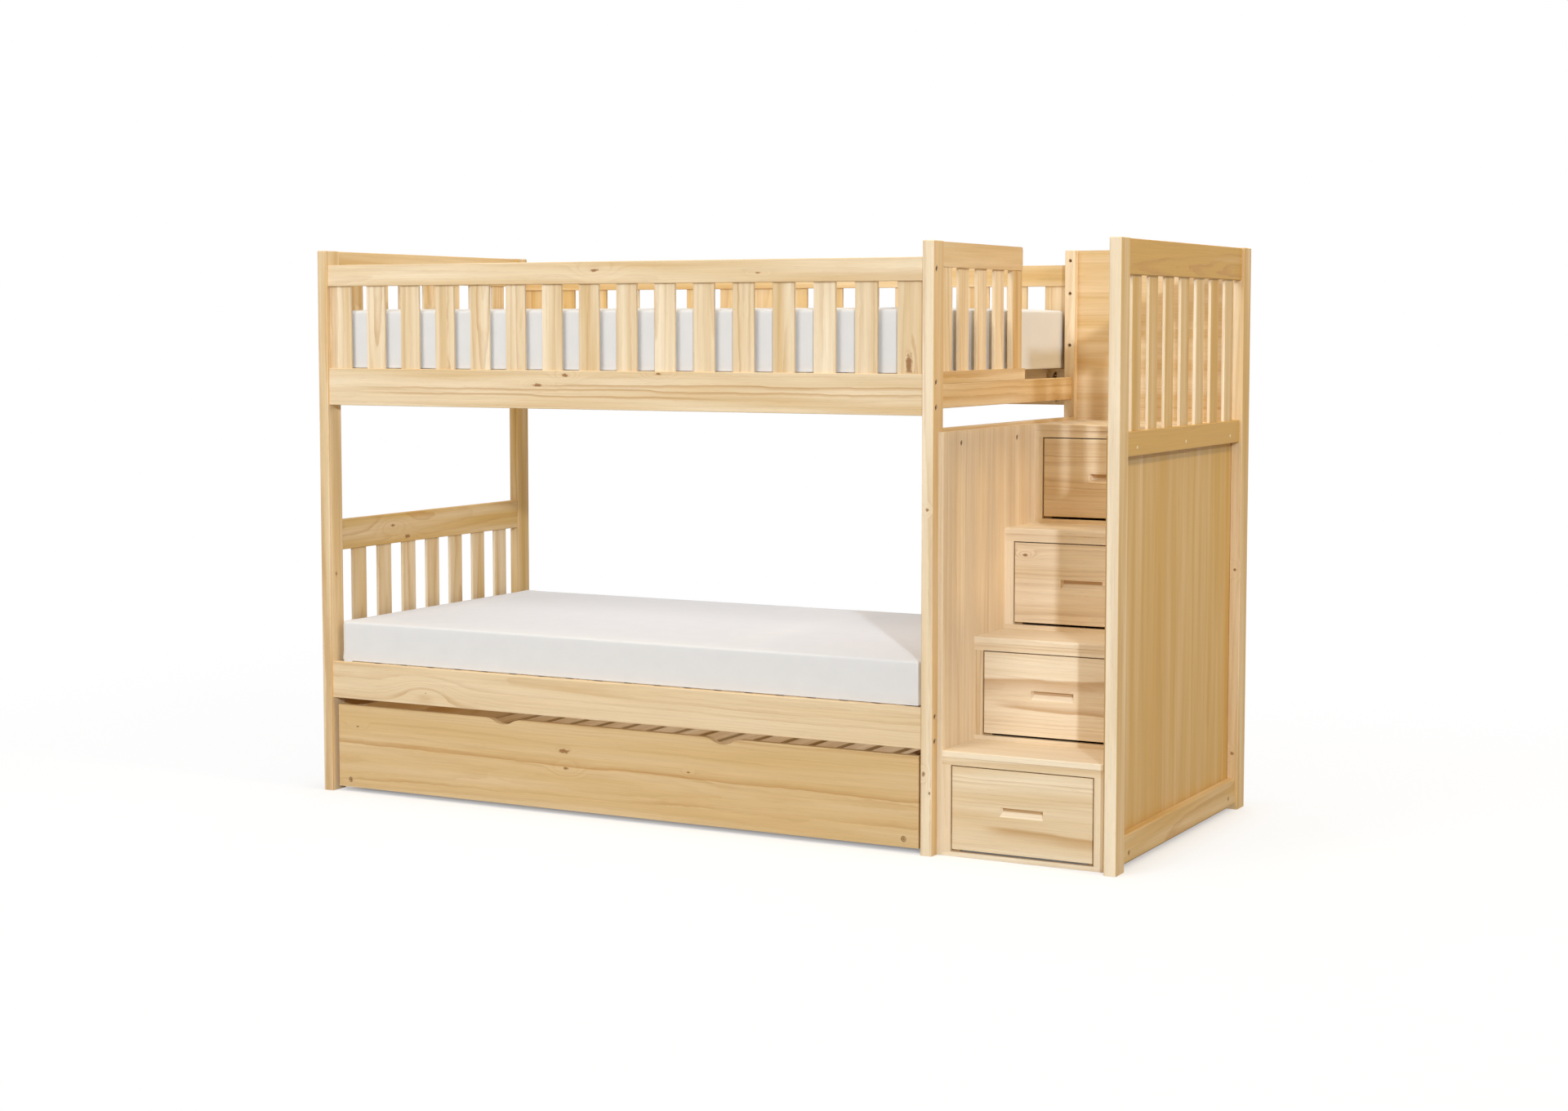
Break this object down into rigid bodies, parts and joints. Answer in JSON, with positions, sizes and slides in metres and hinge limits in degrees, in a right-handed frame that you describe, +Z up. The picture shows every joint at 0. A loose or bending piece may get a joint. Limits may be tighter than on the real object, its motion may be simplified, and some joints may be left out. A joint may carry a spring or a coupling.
{
  "type": "bunk bed",
  "caption": "Pine twin bunk bed with slatted guards, a staircase of drawers at one end and a roll-out trundle under the lower bunk.",
  "frame": {"origin": "centre of the footprint on the floor", "axes": "+X towards the stairs, -Y towards the open front, +Z up"},
  "size_m": [2.543, 1.067, 1.629],
  "materials": {
    "pine": "clear satin lacquer",
    "plug_wood": "clear satin lacquer",
    "mattress_cover": "woven cotton",
    "steel": "zinc plated",
    "wheel_plastic": "matte"
  },
  "bodies": {
    "frame": {"back_guard_board": "pine", "back_guard_slats": "pine", "back_left_post": "pine", "back_lower_rail": "pine", "back_middle_post": "pine", "back_right_post": "pine", "back_upper_rail": "pine", "deck_ledgers": "pine", "drawer_runners": "pine", "entry_guard_bottom_rail": "pine", "entry_guard_top_rail": "pine", "entry_guard_uprights": "pine", "frame_dowels": "pine", "front_guard_board": "pine", "front_guard_slats": "pine", "front_left_post": "pine", "front_lower_rail": "pine", "front_middle_post": "pine", "front_right_post": "pine", "front_upper_rail": "pine", "left_end_slats": "pine", "left_lower_top_rail": "pine", "left_upper_top_rail": "pine", "lower_deck_slats": "pine", "lower_end_rails": "pine", "lower_mattress": "mattress_cover", "middle_end_slats": "pine", "middle_lower_top_rail": "pine", "middle_stair_rail": "pine", "rail_bolts": "steel", "rail_nuts": "steel", "rail_plugs": "plug_wood", "right_bottom_rail": "pine", "right_end_slats": "pine", "right_middle_rail": "pine", "right_top_rail": "pine", "stair_back_panel": "pine", "stair_frame_rails": "pine", "stair_frame_stiles": "pine", "stair_left_panel": "pine", "stair_right_panel": "pine", "stair_screws": "steel", "stair_treads": "pine", "upper_deck_slats": "pine", "upper_end_rails": "pine", "upper_mattress": "mattress_cover"},
    "drawer_1": {"drawer_front_1": "pine", "drawer_box_1": "pine"},
    "drawer_2": {"drawer_front_2": "pine", "drawer_box_2": "pine"},
    "drawer_3": {"drawer_front_3": "pine", "drawer_box_3": "pine"},
    "drawer_4": {"drawer_front_4": "pine", "drawer_box_4": "pine"},
    "trundle": {"trundle_front": "pine", "trundle_frame": "pine", "trundle_slats": "pine", "trundle_hardware": "steel"},
    "trundle_front_axle": {"trundle_front_wheels": "wheel_plastic"},
    "trundle_back_axle": {"trundle_back_wheels": "wheel_plastic"}
  },
  "joints": [
    {"name": "drawer_1_slide", "type": "slide", "parent": "frame", "child": "drawer_1", "axis": [0, -1, 0], "range_m": [0, 0.22]},
    {"name": "drawer_2_slide", "type": "slide", "parent": "frame", "child": "drawer_2", "axis": [0, -1, 0], "range_m": [0, 0.22]},
    {"name": "drawer_3_slide", "type": "slide", "parent": "frame", "child": "drawer_3", "axis": [0, -1, 0], "range_m": [0, 0.22]},
    {"name": "drawer_4_slide", "type": "slide", "parent": "frame", "child": "drawer_4", "axis": [0, -1, 0], "range_m": [0, 0.22]},
    {"name": "trundle_slide", "type": "slide", "parent": "frame", "child": "trundle", "axis": [0, -1, 0], "range_m": [0, 0.95]},
    {"name": "trundle_front_wheel_spin", "type": "hinge", "parent": "trundle", "child": "trundle_front_axle", "pos_m": [-0.2585, -0.3875, 0.025], "axis": [1, 0, 0], "continuous": true},
    {"name": "trundle_back_wheel_spin", "type": "hinge", "parent": "trundle", "child": "trundle_back_axle", "pos_m": [-0.2585, 0.3565, 0.025], "axis": [1, 0, 0], "continuous": true}
  ],
  "couplings": [
    {"joint": "trundle_front_wheel_spin", "follows": "trundle_slide", "rad_per_m": 40},
    {"joint": "trundle_back_wheel_spin", "follows": "trundle_slide", "rad_per_m": 40}
  ]
}
